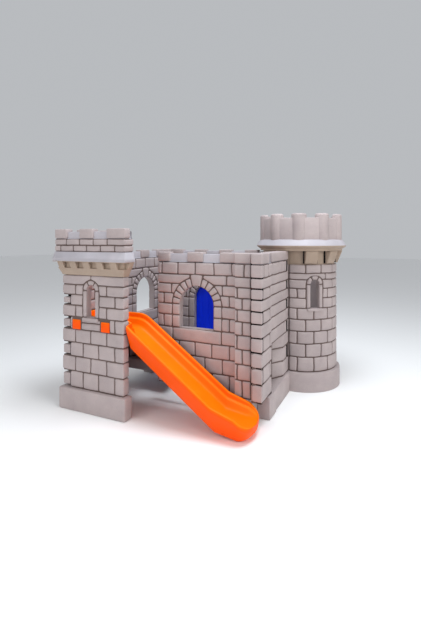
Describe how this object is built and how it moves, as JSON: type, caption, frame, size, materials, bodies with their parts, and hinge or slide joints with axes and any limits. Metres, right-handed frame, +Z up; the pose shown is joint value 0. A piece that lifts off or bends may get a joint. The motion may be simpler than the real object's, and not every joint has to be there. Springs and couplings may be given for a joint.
{
  "type": "play castle with slide",
  "caption": "Children's play castle of moulded masonry panels: square tower with slide, walled court with arched windows and plank door, round corner tower.",
  "frame": {"origin": "middle of the castle's overall box, on the ground", "axes": "+X to the right along the front wall, +Y to the back, +Z up"},
  "size_m": [2.239, 2.087, 1.7075],
  "materials": {
    "stone_plastic": "greige rotomoulded plastic with a fine speckle",
    "orange_plastic": "saturated orange, satin gloss",
    "blue_plastic": "saturated blue, satin gloss",
    "grey_plastic": "plain grey",
    "pin_plastic": "plain grey"
  },
  "bodies": {
    "castle": {"tower_front_panel": "stone_plastic", "tower_side_panel": "stone_plastic", "front_wall_panel": "stone_plastic", "left_wall_panel": "stone_plastic", "right_wall_panel": "stone_plastic", "back_wall_panel": "stone_plastic", "door_hinge_pins": "pin_plastic", "round_tower_outer_shell": "stone_plastic", "round_tower_inner_shell": "stone_plastic", "round_tower_crown": "stone_plastic", "slide": "orange_plastic", "floor_deck": "grey_plastic", "step_unit": "grey_plastic"},
    "door": {"door_leaf": "blue_plastic"}
  },
  "joints": [
    {"name": "door_hinge", "type": "hinge", "parent": "castle", "child": "door", "pos_m": [-0.5125, 0.5415, 0.4], "axis": [0, 0, 1], "range_deg": [0, 100]}
  ]
}
